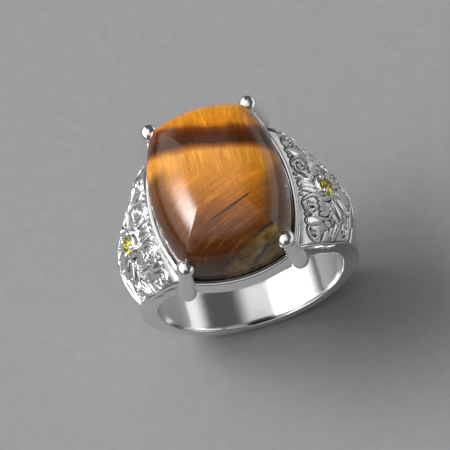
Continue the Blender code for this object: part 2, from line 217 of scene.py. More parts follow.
def skin(name, rings, looped=True, wrapped=False, caps=True):
    """Mesh object through rings of points in millimetres from the middle of the finger hole."""
    rows, columns = len(rings), len(rings[0])
    points = np.array(rings, float).reshape(-1, 3) * MM
    index = np.arange(rows * columns).reshape(rows, columns)
    if looped:
        index = np.hstack([index, index[:, :1]])
    if wrapped:
        index = np.vstack([index, index[:1]])
    quads = np.stack([index[:-1, :-1], index[:-1, 1:], index[1:, 1:], index[1:, :-1]], -1).reshape(-1, 4)
    faces = quads.tolist()
    if caps and not wrapped:
        faces += [list(range(columns))[::-1], list(range((rows - 1) * columns, rows * columns))]
    mesh = bpy.data.meshes.new(name)
    mesh.from_pydata(points.tolist(), [], faces)
    made = bpy.data.objects.new(name, mesh)
    bpy.context.scene.collection.objects.link(made)
    return made


def face_outwards(made):
    bm = bmesh.new()
    bm.from_mesh(made.data)
    bmesh.ops.remove_doubles(bm, verts=bm.verts, dist=1e-7)
    bmesh.ops.recalc_face_normals(bm, faces=bm.faces)
    bm.to_mesh(made.data)
    bm.free()
    return made


def settle(made):
    """Turn what the modifiers show into the object's own mesh."""
    seen = made.evaluated_get(bpy.context.evaluated_depsgraph_get())
    mesh = bpy.data.meshes.new_from_object(seen)
    made.modifiers.clear()
    if made.type == "MESH":
        made.data = mesh
        return made
    plain = bpy.data.objects.new(made.name, mesh)
    bpy.context.scene.collection.objects.link(plain)
    bpy.data.objects.remove(made)
    return plain


def cut(made, cutter, operation="DIFFERENCE"):
    modifier = made.modifiers.new(operation.lower(), "BOOLEAN")
    modifier.object, modifier.operation, modifier.solver = cutter, operation, "EXACT"
    settle(made)
    bpy.data.objects.remove(cutter)
    return made


def smooth(made, angle=35, material=None):
    made.data.shade_smooth()
    made.data.set_sharp_from_angle(angle=radians(angle))
    if material:
        made.data.materials.clear()
        made.data.materials.append(material)
    return made


# %% [markdown]
# ## The band's measured curves
#
# The shank is thin under the finger and swells into two shoulders that climb to the stone. Each table
# pairs an angle, in degrees from the bottom of the hole, with a size; a smooth curve runs through
# them. They are the same tables that the solid model was made from, so the fine band fits it.

# %% Profiles of the band

THICKNESS = ((0, 0.95), (45, 1.1), (70, 1.45), (90, 1.9), (104.2, 2.47), (116.2, 3.36), (128, 3.95),
             (134.8, 4.11), (142.6, 4.7), (149.2, 4.96), (155.8, 5.09), (166.8, 5.12))
CROWN = ((0, 0.2), (45, 0.25), (90, 0.42), (101.5, 0.75), (116.2, 1.25), (127, 1.4), (137, 1.2),
         (146, 1.0), (151.4, 0.75), (166.8, 0.7))
OUTER_HALF_WIDTH = ((0, 2.2), (45, 2.3), (75, 2.5), (101.5, 2.9), (116.2, 3.75), (128.2, 4.5),
                    (137, 5.1), (145.9, 5.75), (151.4, 6.1), (158, 6.4), (166.8, 6.6))
INNER_HALF_WIDTH = ((0, 2.2), (45, 2.3), (60, 2.45), (95, 2.8), (113, 3.45), (124, 3.95),
                    (139, 4.6), (146, 4.8), (166.8, 5.2))
PANEL_START_ANGLE = 150.8
PANEL_LENGTH = 8.3


def along(table, at):
    """Value at an angle on a smooth curve through a table."""
    angles, values = np.array(table, float).T
    slopes = np.gradient(values, angles)
    at = np.clip(np.asarray(at, float), angles[0], angles[-1])
    i = np.clip(np.searchsorted(angles, at) - 1, 0, len(angles) - 2)
    span = angles[i + 1] - angles[i]
    t = (at - angles[i]) / span
    return ((1 + 2 * t) * (1 - t) ** 2 * values[i] + t * (1 - t) ** 2 * span * slopes[i]
            + t * t * (3 - 2 * t) * values[i + 1] - t * t * (1 - t) * span * slopes[i + 1])


def outer_radius(angle, y):
    across = np.minimum(1, np.abs(y) / along(OUTER_HALF_WIDTH, angle))
    return HOLE_RADIUS + along(THICKNESS, angle) - along(CROWN, angle) * across ** 2


BAND_END_ANGLE = THICKNESS[-1][0]
crest_angles = np.linspace(BAND_END_ANGLE, 60, 600)
crest = HOLE_RADIUS + along(THICKNESS, crest_angles)
crest_x, crest_z = crest * np.sin(np.radians(crest_angles)), -crest * np.cos(np.radians(crest_angles))
crest_distances = np.concatenate([[0], np.cumsum(np.hypot(np.diff(crest_x), np.diff(crest_z)))])
crest_distances -= np.interp(-PANEL_START_ANGLE, -crest_angles, crest_distances)
print("the shoulder's crest runs", round(float(crest_distances[-1]), 2), "mm down from the collar")

# %% [markdown]
# ## The carved ornament
#
# Each shoulder carries scrolls, pointed leaves and petals round a small stone, packed so closely that
# only thin dark lines part them. A carver sees them as strokes that swell and taper, each with its own
# cut line. So every motif here is a stroke: a path with a width that changes along it. Strokes are
# laid one over another on a fine height map, and each one first cuts a thin groove round itself.
# Half a shoulder is drawn; the other half is its mirror image. Positions are millimetres from the
# middle line, and down from the collar.

# %% Strokes of the ornament

GROOVE = 0.08
# heights run from 0 at the deepest to 1 at the surface; the open ground lies between
GROUND = 0.42
LOWEST_STROKE = 0.05
STROKE_SQUARENESS = 2.4
VEIN_WIDTH = 0.06
# leaves are drawn a little fuller than their widths say, so that neighbours nearly touch
LEAF_FULLNESS = 1.15
LEAF_BLUNTNESS = 0.7
THINNEST = 0.02
# a plain ring of metal round the small stone, and a plain rim round the panel
COLLET_RADIUS = 1.3
RIM_AT_SIDE = 0.2
RIM_AT_END = 0.28
RIM_GROOVE = 0.14
RIM_ROUNDING = 0.06


def bow(start, end, bend=0.0, count=9):
    """Path from start to end that bows sideways by a share of its length."""
    start, end = np.array(start, float), np.array(end, float)
    t = np.linspace(0, 1, count)[:, None]
    side = np.array([start[1] - end[1], end[0] - start[0]])
    return start + (end - start) * t + side * bend * 4 * t * (1 - t)


def spiral(centre, radius, turns, opening, inner=0.12):
    t = np.linspace(0, 1, int(26 * turns))
    bearing = np.radians(opening) + 2 * pi * turns * t
    reach = radius + (inner - radius) * t ** 0.85
    return np.stack([centre[0] + reach * np.cos(bearing), centre[1] + reach * np.sin(bearing)], -1)


def oval(centre, half_a, half_s, count=40):
    t = np.linspace(0, 2 * pi, count)
    return np.stack([centre[0] + half_a * np.cos(t), centre[1] + half_s * np.sin(t)], -1)


def even(width, count):
    return np.full(count, width)


def leafy(width, count, fullest=0.5):
    """Widths of a stroke that is pointed at both ends."""
    t = np.linspace(0, 1, count)
    swell = np.sin(pi / 2 * np.minimum(t / fullest, (1 - t) / (1 - fullest))) ** LEAF_BLUNTNESS
    return LEAF_FULLNESS * width * swell + THINNEST


def tapered(width, count, tip=0.35):
    return width * (1 - (1 - tip) * np.linspace(0, 1, count) ** 2)


def motifs():
    """(path, widths, vein) of each stroke on half a shoulder."""
    found = []

    def add(path, widths, vein=0.0):
        found.append((path, widths(len(path)) if callable(widths) else widths, vein))

    def leaf_stroke(start, end, width, bend=0.0, fullest=0.5, vein=0.0):
        path = bow(start, end, bend)
        add(path, leafy(width, len(path), fullest), vein)

    def curl(centre, radius, turns, opening, width):
        path = spiral(centre, radius, turns, opening)
        add(path, tapered(width, len(path), 0.8))
        add(bow(centre, (centre[0] + 0.01, centre[1]), 0, 2), even(width * 1.25, 2))

    leaf_stroke((0, 0.3), (0, 2.45), 0.5, fullest=0.4, vein=0.5)
    leaf_stroke((0.62, 0.25), (0.72, 2.35), 0.2, bend=0.08)
    path = oval((2.08, 2.15), 1.1, 1.82)
    add(path, even(0.15, len(path)))
    for a0, a1 in ((1.3, 1.85), (1.78, 2.02), (2.3, 2.14), (2.82, 2.3)):
        leaf_stroke((a0, 2.02), (a1, 3.72), 0.2, bend=0.03)
    curl((2.05, 1.2), 0.66, 1.35, 250, 0.14)
    leaf_stroke((3.55, 2.15), (3.72, 0.15), 0.36, bend=-0.06, fullest=0.68)
    curl((4.72, 0.9), 0.72, 1.5, 215, 0.15)
    leaf_stroke((5.42, 1.75), (4.02, 3.2), 0.44, bend=-0.1, fullest=0.62)
    leaf_stroke((3.4, 2.55), (3.65, 4.0), 0.22, bend=0.12)
    leaf_stroke((4.95, 3.2), (3.35, 4.35), 0.22, bend=0.1)
    leaf_stroke((4.6, 4.1), (2.85, 5.2), 0.42, bend=0.06, vein=0.35)
    curl((3.15, 6.15), 0.72, 1.4, 10, 0.16)
    leaf_stroke((1.25, 4.3), (2.55, 5.45), 0.32, bend=0.08)
    leaf_stroke((2.2, 4.2), (3.1, 4.75), 0.18)
    leaf_stroke((0.72, 4.75), (1.75, 6.9), 0.34, bend=0.06, vein=0.4)
    leaf_stroke((0, 4.85), (0, 7.25), 0.38, vein=0.5)
    leaf_stroke((0.55, 5.7), (0.6, 7.3), 0.14)
    leaf_stroke((3.95, 7.05), (0.3, 7.6), 0.26, bend=0.04)
    beads = ((3.0, 0.35), (1.05, 0.3), (2.1, 5.95), (4.15, 6.3), (2.95, 3.95), (4.45, 2.15), (1.5, 7.0))
    for bead in beads:
        add(bow(bead, (bead[0] + 0.01, bead[1]), 0, 2), even(0.15, 2))
    return found


def lay_stroke(height, a, s, path, widths, vein):
    """Lay one stroke over the height map and cut its groove round it."""
    far = 9.0
    reach, share, at = np.full(a.shape, far), np.full(a.shape, far), np.zeros(a.shape)
    for (a0, s0), (a1, s1), w0, w1 in zip(path, path[1:], widths, widths[1:]):
        da, ds = a1 - a0, s1 - s0
        t = np.clip(((a - a0) * da + (s - s0) * ds) / (da * da + ds * ds), 0, 1)
        distance = np.hypot(a - a0 - t * da, s - s0 - t * ds)
        width = w0 + (w1 - w0) * t
        nearer = distance - width < reach
        reach = np.where(nearer, distance - width, reach)
        share = np.where(nearer, distance / width, share)
        at = np.where(nearer, distance, at)
    crown = np.clip(1 - np.clip(share, 0, 1) ** STROKE_SQUARENESS, 0, 1) ** 0.5
    crown = crown * (1 - vein * np.exp(-(at / VEIN_WIDTH) ** 2))
    outside = height * np.clip(reach / GROOVE, 0, 1)
    return np.where(share < 1, np.maximum(crown, LOWEST_STROKE), outside)


def carve(a, s, half_width):
    """Height of the ornament, its rim included, from 0 at the deepest to 1 at the surface."""
    height = np.full(a.shape, GROUND)
    for path, widths, vein in motifs():
        height = lay_stroke(height, a, s, path, widths, vein)
    collet = np.hypot(a, s - accent_distance) - COLLET_RADIUS
    height = height * np.clip(collet / GROOVE, 0, 1)
    rim = np.minimum(half_width - RIM_AT_SIDE - a, PANEL_LENGTH - RIM_AT_END - s)
    height = np.where(rim < RIM_GROOVE, height * np.clip(rim / RIM_GROOVE, 0, 1), height)
    return np.where(rim < 0, np.clip(-rim / RIM_ROUNDING, 0, 1), height)


ACCENT_ANGLE = 136.6
accent_distance = float(np.interp(-ACCENT_ANGLE, -crest_angles, crest_distances))
print("strokes on half a shoulder:", len(motifs()), "accent stone at", round(accent_distance, 2), "mm")

# %% [markdown]
# ## The collar's outline
#
# The collar that holds the stone is a cushion seen from above: two long and two short arcs whose
# corners are rounded. Moving the outline inwards by an inset gives the wall's inner face, the seat and
# the stone's own edge, so everything that follows the cushion shares one function.

# %% Cushion outline

COLLAR_HALF_WIDTH = 6.57
COLLAR_HALF_LENGTH = 8.26
LONG_SIDE_BULGE = 1.75
SHORT_SIDE_BULGE = 1.1
COLLAR_CORNER_ROUNDING = 0.6
# however far the outline moves inwards, its corners keep at least this radius
TIGHTEST_CORNER = 0.25
COLLAR_TOP = 12.79
COLLAR_BOTTOM = 11.18
# points on the long arc, the corner and the short arc of one quarter
LONG_ARC_POINTS, CORNER_POINTS, SHORT_ARC_POINTS = 22, 9, 18


def cushion(inset, z):
    """Points round the cushion, moved inwards by the inset, at a height."""
    corner_x, corner_y = COLLAR_HALF_WIDTH - LONG_SIDE_BULGE, COLLAR_HALF_LENGTH - SHORT_SIDE_BULGE
    long_radius = (corner_y ** 2 + LONG_SIDE_BULGE ** 2) / (2 * LONG_SIDE_BULGE)
    short_radius = (corner_x ** 2 + SHORT_SIDE_BULGE ** 2) / (2 * SHORT_SIDE_BULGE)
    rounding = max(COLLAR_CORNER_ROUNDING, inset + TIGHTEST_CORNER)
    long_centre, short_centre = COLLAR_HALF_WIDTH - long_radius, COLLAR_HALF_LENGTH - short_radius
    # the corner's centre is known by its distances from the centres of both arcs
    p, q = long_radius - rounding, short_radius - rounding
    apart = sqrt(long_centre ** 2 + short_centre ** 2)
    onward = (p ** 2 - q ** 2 + apart ** 2) / (2 * apart)
    aside = sqrt(p ** 2 - onward ** 2)
    ex, ey = -long_centre / apart, short_centre / apart
    cx, cy = long_centre + onward * ex - aside * ey, onward * ey + aside * ex
    long_end, short_end = atan2(cy, cx - long_centre), atan2(cy - short_centre, cx)
    t = np.linspace(0, long_end, LONG_ARC_POINTS, endpoint=False)
    quarter = [(long_centre + (long_radius - inset) * cos(k), (long_radius - inset) * sin(k)) for k in t]
    t = np.linspace(long_end, short_end, CORNER_POINTS)
    quarter += [(cx + (rounding - inset) * cos(k), cy + (rounding - inset) * sin(k)) for k in t]
    t = np.linspace(short_end, pi / 2, SHORT_ARC_POINTS)[1:]
    quarter += [((short_radius - inset) * cos(k), short_centre + (short_radius - inset) * sin(k))
                for k in t]
    half = quarter + [(-x, y) for x, y in quarter[-2:0:-1]] + [(-quarter[0][0], 0)]
    whole = half + [(x, -y) for x, y in half[-2:0:-1]]
    return [(x, y, z) for x, y in whole]


edge = np.array(cushion(0, 0))
right_edge = edge[(edge[:, 0] > 0)]
right_edge = right_edge[np.argsort(right_edge[:, 1])]


def collar_reach(y):
    """How far the collar reaches from the middle, at a place along the finger."""
    return np.interp(y, right_edge[:, 1], right_edge[:, 0])


print("points round the cushion:", len(edge))

# %% [markdown]
# ## The band
#
# One skin makes the whole casting. Its rings run across the band; the panel's rows start exactly at
# the collar's wall, which is curved, so each column finds its own start. Behind the collar the skin
# turns down to the gallery, the open window under the stone. The carved height map is pressed into
# the rows of the panel, and its depth is kept in the "recess" attribute for the silver's finish.

# %% Rows and columns of the band

RELIEF_DEPTH = 0.34
PANEL_COLUMNS = 201
PANEL_ROWS = 150
SHANK_ROWS = 44
EDGE = 0.16
HOLE_EDGE = 0.14
GALLERY_HALF_WIDTH = 3.6
# the hole's rows stop here, where the gallery's walls take over
HOLE_END_ANGLE = 149.5
# every column of the panel meets the collar's wall above this angle
COLLAR_LOW_ANGLE = 147
# the skin starts a little inside the collar's wall and steps down to a little below the collar
TUCK_IN = 0.03
STEP_IN = 0.02
STEP_DOWN = 0.04
# the side wall is slightly hollow between the outer edge and the hole
HOLLOW = 0.12
# points of one side's section: its rounded outer edge, its wall, and from then on the hole's edge
EDGE_POINTS = 4
WALL_SHARES = (0.2, 0.5, 0.8)
HOLE_FROM = EDGE_POINTS + len(WALL_SHARES)


def ring_point(angle, y, radius):
    """Place in the band at an angle from the bottom of the hole, along the finger and outwards."""
    turn = np.radians(angle)
    return np.stack([radius * np.sin(turn), y + 0 * turn, -radius * np.cos(turn)], -1)


def side_and_hole(angle, outer_half, edge_radius):
    """Rounded outer edge, side wall, rounded hole edge and hole, for the side with positive y."""
    inner_half = float(along(INNER_HALF_WIDTH, angle))
    turn = np.linspace(0, pi / 2, EDGE_POINTS + 1)[1:]
    points = [(outer_half - EDGE + EDGE * sin(t), edge_radius - EDGE + EDGE * cos(t)) for t in turn]
    start, end = points[-1], (inner_half, HOLE_RADIUS + HOLE_EDGE)
    for t in WALL_SHARES:
        hollow = -HOLLOW * 4 * t * (1 - t) * min(1.0, (start[1] - end[1]) / 3)
        points.append((start[0] + (end[0] - start[0]) * t + hollow, start[1] + (end[1] - start[1]) * t))
    points.append(end)
    points += [(inner_half - HOLE_EDGE + HOLE_EDGE * cos(t), HOLE_RADIUS + HOLE_EDGE - HOLE_EDGE * sin(t))
               for t in (pi / 6, pi / 3, pi / 2)]
    points += [((inner_half - HOLE_EDGE) * share, HOLE_RADIUS) for share in (0.75, 0.5, 0.25)]
    return points


def close_section(angle, top, outer_half, edge_radius):
    """One ring: the top points, then the side and hole with positive y, and back on the other side."""
    turned = side_and_hole(angle, outer_half, edge_radius)
    down = [ring_point(angle, y, r) for y, r in turned]
    middle = [ring_point(angle, 0.0, HOLE_RADIUS)]
    up = [ring_point(angle, -y, r) for y, r in turned[::-1]]
    return np.array(list(top) + down + middle + up)


def collar_start(y):
    """Distance down the crest at which a column of the panel leaves the collar's wall."""
    angles = np.linspace(BAND_END_ANGLE, COLLAR_LOW_ANGLE, 120)
    x = outer_radius(angles[:, None], y[None, :]) * np.sin(np.radians(angles))[:, None]
    reach = collar_reach(y) - TUCK_IN
    starts = [np.interp(reach[k], x[:, k], angles) for k in range(len(y))]
    return np.interp(-np.array(starts), -crest_angles, crest_distances)


def shank_rings(shares):
    """Plain rings from the bottom of the shank up to the panel."""
    rings = []
    panel_end = float(np.interp(PANEL_LENGTH, crest_distances, crest_angles))
    for angle in np.linspace(0, panel_end, SHANK_ROWS, endpoint=False):
        half = float(along(OUTER_HALF_WIDTH, angle))
        y = shares * (half - EDGE)
        rim = float(outer_radius(angle, half - EDGE))
        top = ring_point(angle, y, outer_radius(angle, y))
        rings.append(close_section(angle, top, half, rim))
    return rings


def panel_rings(shares):
    """Carved rings from the foot of the panel up to the collar, and how deep each top point lies."""
    rings, recesses = [], []
    for t in np.linspace(1, 0, PANEL_ROWS):
        # first guess of each column's place, then its width and start there
        guess = np.interp(PANEL_LENGTH * t, crest_distances, crest_angles)
        y = shares * (float(along(OUTER_HALF_WIDTH, guess)) - EDGE)
        starts = collar_start(y)
        s = starts + (PANEL_LENGTH - starts) * t
        angles = np.interp(s, crest_distances, crest_angles)
        half = along(OUTER_HALF_WIDTH, angles)
        y = shares * (half - EDGE)
        height = carve(np.abs(y), s, half)
        top = ring_point(angles, y, outer_radius(angles, y) - RELIEF_DEPTH * (1 - height))
        rim_angle, rim_half = float(angles[-1]), float(half[-1])
        rim = float(outer_radius(rim_angle, rim_half - EDGE))
        rings.append(close_section(min(rim_angle, HOLE_END_ANGLE), top, rim_half, rim))
        turned = side_and_hole(rim_angle, rim_half, rim)
        for k in range(EDGE_POINTS):
            rings[-1][len(y) + k] = ring_point(rim_angle, *turned[k])
            rings[-1][-1 - k] = ring_point(rim_angle, -turned[k][0], turned[k][1])
        recesses.append(1 - height)
    return rings, recesses


def gallery_rings(last):
    """Two rings under the collar: one just inside the panel's end, one at the gallery's opening."""
    rings = []
    gallery_angle = 180 - degrees(np.arcsin(GALLERY_HALF_WIDTH / HOLE_RADIUS))
    for x_share, hole_angle in ((0.0, HOLE_END_ANGLE + 2), (1.0, gallery_angle)):
        ring = last.copy()
        top_count = PANEL_COLUMNS + EDGE_POINTS
        outside = np.r_[0:top_count, len(ring) - EDGE_POINTS:len(ring)]
        x = ring[outside, 0] - STEP_IN
        ring[outside, 0] = x + (GALLERY_HALF_WIDTH - x) * x_share
        ring[outside, 2] = COLLAR_BOTTOM - STEP_DOWN
        # only the inner points of this section are used, so its outer radius doesn't matter
        turned = side_and_hole(hole_angle, float(np.abs(ring[top_count - 1, 1])), HOLE_RADIUS + 4)
        turned = turned[HOLE_FROM:]
        hole = [ring_point(hole_angle, y, r) for y, r in turned]
        hole += [ring_point(hole_angle, 0.0, HOLE_RADIUS)]
        hole += [ring_point(hole_angle, -y, r) for y, r in turned[::-1]]
        inside = np.array(hole)
        top_corner, low_corner = ring[top_count - 1], inside[0]
        walls = [top_corner + (low_corner - top_corner) * t for t in (0.25, 0.5, 0.75)]
        mirrored = [point * (1, -1, 1) for point in walls[::-1]]
        rings.append(np.vstack([ring[:top_count], walls, inside, mirrored, ring[-EDGE_POINTS:]]))
    return rings


def make_band():
    shares = np.linspace(-1, 1, PANEL_COLUMNS)
    plain = shank_rings(shares)
    carved, recesses = panel_rings(shares)
    hidden = gallery_rings(carved[-1])
    rings = plain + carved + hidden
    recesses = [np.zeros(PANEL_COLUMNS)] * len(plain) + recesses + [np.ones(PANEL_COLUMNS)] * len(hidden)
    mirrored = [ring * (-1, 1, 1) for ring in rings[:0:-1]]
    made = skin("silver_band", mirrored + rings)
    around = len(rings[0])
    rest = np.zeros(around - PANEL_COLUMNS)
    depth = np.concatenate([np.concatenate([r, rest]) for r in recesses[:0:-1] + recesses])
    attribute = made.data.attributes.new("recess", "FLOAT", "POINT")
    attribute.data.foreach_set("value", depth.astype(np.float32))
    return made


# %% The whole band

band = make_band()
print("band:", len(band.data.vertices), "points,", len(band.data.polygons), "faces")

# %% [markdown]
# ## Holes behind the small stones
#
# A setter drills right through the shoulder behind a small stone, so that light reaches it from
# behind and it can be cleaned. Both holes show as dark spots inside the band. A boolean cuts them.

# %% The accent stones' places, and the drilled holes

ACCENT_LIFT = 0.42
ACCENT_RADIUS = 0.88
DRILL_RADIUS = 0.5
DRILL_LENGTH = 8


def accent_place(side):
    """Matrix in metres: its origin on the girdle's plane of an accent stone, +Z out of the shoulder."""
    angles = [ACCENT_ANGLE + step for step in (0.5, 0, -0.5)]
    above, at, below = (ring_point(angle, 0.0, HOLE_RADIUS + float(along(THICKNESS, angle)))
                        for angle in angles)
    down = Vector(below - above).normalized()
    outward = Vector((-down.z, 0, down.x))
    centre = Vector(at) + outward * ACCENT_LIFT
    centre.x, outward.x = side * centre.x, side * outward.x
    return Matrix.Translation(centre * MM) @ outward.to_track_quat("Z", "Y").to_matrix().to_4x4()


for side in (-1, 1):
    bpy.ops.mesh.primitive_cylinder_add(vertices=48, radius=DRILL_RADIUS * MM, depth=DRILL_LENGTH * MM)
    drill = bpy.context.object
    drill.matrix_world = accent_place(side) @ Matrix.Translation((0, 0, -DRILL_LENGTH / 2 * MM))
    bpy.context.view_layer.update()
    cut(band, drill)
smooth(band, 40, silver)
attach(band, "root")
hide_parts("band")
print("drilled band:", len(band.data.polygons), "faces")

# %% [markdown]
# ## The head's collar
#
# The collar is a wall round the stone. Its top is not flat: the outer edge is rounded by polishing,
# then comes a narrow groove, and then the thin inner lip that the setter burnished against the stone.
# So two bright lines run round the stone with a dark one between them. A closed profile swept round
# the cushion outline gives all of it.

# %% Collar

BOTTOM_CHAMFER = 0.1
SEAT_WIDTH = 1.35
# (inset, height over the collar's top): rounded outer edge, groove, burnished lip, inner wall, seat
COLLAR_PROFILE = ((0, -0.19), (0.03, -0.09), (0.08, -0.03), (0.13, -0.01), (0.17, -0.05), (0.18, -0.39),
                  (0.3, -0.39), (0.31, -0.03), (0.35, 0.05), (0.4, 0.03), (0.43, -0.11), (0.43, -0.81),
                  (SEAT_WIDTH, -0.81))
rings = [cushion(BOTTOM_CHAMFER, COLLAR_BOTTOM), cushion(0, COLLAR_BOTTOM + BOTTOM_CHAMFER)]
rings += [cushion(inset, COLLAR_TOP + up) for inset, up in COLLAR_PROFILE]
rings += [cushion(SEAT_WIDTH, COLLAR_BOTTOM)]
collar = skin("silver_head", rings, wrapped=True, caps=False)
face_outwards(collar)
print("collar:", len(collar.data.polygons), "faces")

# %% [markdown]
# ## Claws by geometry nodes
#
# Each claw starts inside the shoulder, stands beside the collar's corner and leans in over the stone,
# where its end is filed to a round bead. That is a path with a thickness that changes along it, which
# is what a node tree sweeps well: the path's points carry their radius, and the tree turns them into
# a round bar with the wanted number of sides.

# %% A tree that sweeps a round bar along a path

CLAW_RADIUS = 0.68
CLAW_TOE, CLAW_FOOT, CLAW_TIP = (5.15, 6.6, 9.93), (5.12, 7.1, 11.28), (4.42, 6.92, 16.23)
CLAW_POINTS = 60
# (share of the length, thickness as a share of the radius): hidden toe, foot, stem, filed end
CLAW_GIRTH = ((0, 0.35), (0.2, 1.2), (0.32, 1.25), (0.5, 1.05), (0.8, 1.0), (0.88, 1.22))
CLAW_DOME_HEIGHT = 1.15 * CLAW_RADIUS


class Shaper(Recipe):
    """A geometry node tree with named inputs; it ends by realizing instances and setting the material."""

    def __init__(self, name, **inputs):
        self.tree = bpy.data.node_groups.new(name, "GeometryNodeTree")
        face = self.tree.interface
        face.new_socket("Shape", in_out="INPUT", socket_type="NodeSocketGeometry")
        face.new_socket("Shape", in_out="OUTPUT", socket_type="NodeSocketGeometry")
        self.keys = {}
        for label, value in inputs.items():
            kind = {int: "NodeSocketInt", float: "NodeSocketFloat"}.get(type(value), "NodeSocketMaterial")
            socket = face.new_socket(label.replace("_", " "), in_out="INPUT", socket_type=kind)
            self.keys[label] = (socket.identifier, value)
        self.entry = self.tree.nodes.new("NodeGroupInput")

    def given(self, label):
        return Amount(self, self.entry.outputs[label.replace("_", " ")])

    def close(self, shape):
        real = self.node("GeometryNodeRealizeInstances", {}, {"Geometry": shape})
        sockets = {"Geometry": real, "Material": self.given("Finish")}
        dressed = self.node("GeometryNodeSetMaterial", {}, sockets)
        self.node("NodeGroupOutput", {}, {"Shape": dressed})

    def apply(self, made):
        modifier = made.modifiers.new(self.tree.name, "NODES")
        modifier.node_group = self.tree
        for identifier, value in self.keys.values():
            modifier[identifier] = value
        return settle(made)


def bar_tree():
    s = Shaper("round_bar", Sides=24, Finish=silver)
    sockets = {"Resolution": s.given("Sides"), "Radius": 1.0}
    section = s.node("GeometryNodeCurvePrimitiveCircle", {}, sockets)
    thick = s.node("GeometryNodeInputRadius")
    sockets = {"Curve": s.given("Shape"), "Profile Curve": section, "Scale": thick, "Fill Caps": True}
    s.close(s.node("GeometryNodeCurveToMesh", {}, sockets))
    return s


bar = bar_tree()
print("tree:", bar.tree.name, "with", ", ".join(bar.keys))

# %% Four claws

def smooth_path(points, count):
    """Evenly spaced points on a smooth curve through a few."""
    points = np.array(points, float)
    spans = np.concatenate([[0], np.cumsum(np.linalg.norm(np.diff(points, axis=0), axis=1))])
    t = np.linspace(0, spans[-1], count)
    slopes = np.gradient(points, spans, axis=0)
    i = np.clip(np.searchsorted(spans, t) - 1, 0, len(points) - 2)
    h = (spans[i + 1] - spans[i])[:, None]
    u = (t - spans[i])[:, None] / h
    return ((1 + 2 * u) * (1 - u) ** 2 * points[i] + u * (1 - u) ** 2 * h * slopes[i]
            + u * u * (3 - 2 * u) * points[i + 1] - u * u * (1 - u) * h * slopes[i + 1])


def make_claw(side_x, side_y):
    foot, tip = np.array(CLAW_FOOT), np.array(CLAW_TIP)
    route = [CLAW_TOE, foot, foot + (tip - foot) * 0.4, foot + (tip - foot) * 0.8, tip]
    path = smooth_path(route, CLAW_POINTS)
    girth = np.interp(np.linspace(0, 1, CLAW_POINTS), *zip(*CLAW_GIRTH))
    # the end is rounded like half a ball, and never quite shrinks to nothing
    left = np.linalg.norm(path - path[-1], axis=1) / CLAW_DOME_HEIGHT
    dome = np.sqrt(np.clip(1 - (1 - np.clip(left, 0, 1)) ** 2, 0.0004, 1))
    curve = bpy.data.curves.new("claw_path", "CURVE")
    curve.dimensions = "3D"
    spline = curve.splines.new("POLY")
    spline.points.add(len(path) - 1)
    for point, place, share in zip(spline.points, path, girth * dome):
        point.co = (side_x * place[0] * MM, side_y * place[1] * MM, place[2] * MM, 1)
        point.radius = share * CLAW_RADIUS * MM
    made = bpy.data.objects.new("claw", curve)
    bpy.context.scene.collection.objects.link(made)
    return bar.apply(made)


for side_x in (-1, 1):
    for side_y in (-1, 1):
        cut(collar, face_outwards(make_claw(side_x, side_y)), "UNION")
smooth(collar, 40, silver)
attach(collar, "root")
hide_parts("head")
print("head:", len(collar.data.polygons), "faces")

# %% [markdown]
# ## Bead prongs round the small stones
#
# Four little beads hold each small stone. They repeat round its girdle, so a node tree places them:
# a circle of points, one bead on each, turned with the stone's seat. The low cup under the stone is a
# skin of its own.

# %% Prongs and cup

PRONG_RADIUS = 0.27
PRONG_HEIGHTS = (-1.0, 0.3)
PRONG_OFFSET = 0.08


def prong_tree():
    s = Shaper("bead_prongs", Count=4, Reach=(ACCENT_RADIUS + PRONG_OFFSET) * MM,
               Thickness=PRONG_RADIUS * MM, Finish=silver)
    ring = s.node("GeometryNodeMeshCircle", {}, {"Vertices": s.given("Count"), "Radius": s.given("Reach")})
    low, high = PRONG_HEIGHTS
    depth = (high - low - PRONG_RADIUS) * MM
    sockets = {"Vertices": 20, "Radius": s.given("Thickness"), "Depth": depth}
    stem = s.node("GeometryNodeMeshCylinder", {}, sockets)
    top = (high - PRONG_RADIUS) * MM
    stem = s.node("GeometryNodeTransform", {}, {"Geometry": stem, "Translation": (0, 0, top - depth / 2)})
    sockets = {"Segments": 20, "Rings": 12, "Radius": s.given("Thickness")}
    bead = s.node("GeometryNodeMeshUVSphere", {}, sockets)
    bead = s.node("GeometryNodeTransform", {}, {"Geometry": bead, "Translation": (0, 0, top)})
    prong = s.node("GeometryNodeMeshBoolean", {"operation": "UNION", "solver": "EXACT"}, {"Mesh 2": stem})
    s.tree.links.new(bead.socket, prong.socket.node.inputs["Mesh 2"])
    round_seat = s.node("GeometryNodeInstanceOnPoints", {}, {"Points": ring, "Instance": prong})
    s.close(round_seat)
    return s


prongs_tree = prong_tree()
for side, word in ((-1, "left"), (1, "right")):
    seed = bpy.data.objects.new("bead_prongs_" + word, bpy.data.meshes.new("seed"))
    bpy.context.scene.collection.objects.link(seed)
    beads = prongs_tree.apply(seed)
    beads.data.transform(accent_place(side) @ Matrix.Rotation(pi / 4, 4, "Z"))
    smooth(face_outwards(beads), 50, silver)
    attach(beads, "root")
    print(beads.name, len(beads.data.polygons), "faces")

# (height over the girdle, radius), up the outside and down the inside
CUP = ((-1.0, 1.28), (-0.3, 1.1), (-0.14, 1.06), (-0.08, 1.0), (-0.12, 0.94), (-0.5, 0.6), (-1.0, 0.5))
for side, word in ((-1, "left"), (1, "right")):
    bearings = np.linspace(0, 2 * pi, 48, endpoint=False)
    rings = [[(r * cos(b), r * sin(b), h) for b in bearings] for h, r in CUP]
    cup = skin("cup_" + word, rings, wrapped=True, caps=False)
    cup.data.transform(accent_place(side))
    smooth(face_outwards(cup), 40, silver)
    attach(cup, "root")
    print(cup.name, len(cup.data.polygons), "faces")

